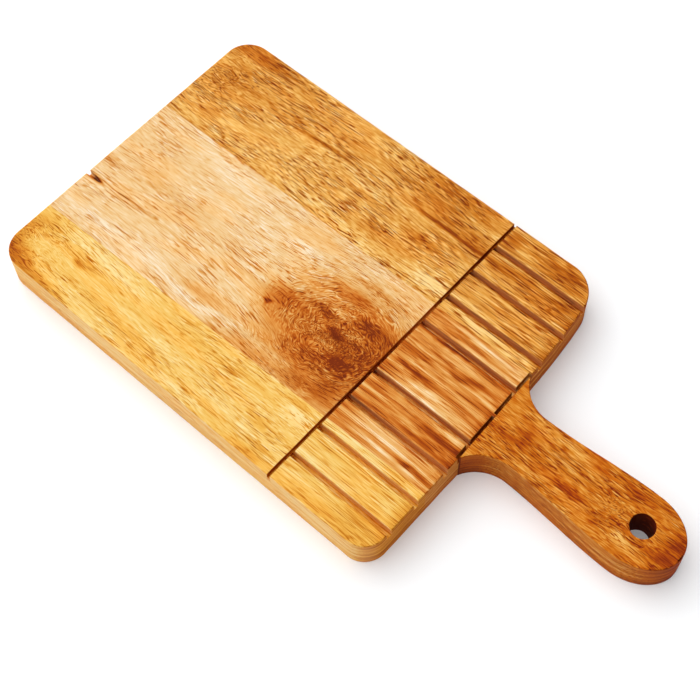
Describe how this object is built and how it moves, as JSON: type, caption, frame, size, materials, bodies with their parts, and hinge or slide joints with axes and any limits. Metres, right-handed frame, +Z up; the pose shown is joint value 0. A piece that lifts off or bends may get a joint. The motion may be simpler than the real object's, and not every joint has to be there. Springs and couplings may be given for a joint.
{
  "type": "serving board",
  "caption": "Rectangular wooden serving board of edge-glued staves with a paddle handle, a hanging hole and crumb grooves at the handle end.",
  "frame": {"origin": "on the underside, below the middle of the whole length and width", "axes": "+X along the grain towards the handle, +Y across the board towards the amber stave, +Z up through the grooved serving face"},
  "size_m": [0.349, 0.18, 0.02],
  "materials": {
    "yellow_stave": "oiled, straight grain, yellow amber with brown pores",
    "pale_stave": "oiled, pale cream to tan, with a brown knot swirl",
    "amber_stave": "oiled, amber with brown streaks",
    "handle_wood": "oiled, orange amber, mottled",
    "dowel_wood": "bare pale hardwood"
  },
  "bodies": {
    "root": {"left_stave": "yellow_stave", "centre_stave": "pale_stave", "right_stave": "amber_stave", "handle": "handle_wood", "handle_dowels": "dowel_wood"}
  },
  "joints": []
}
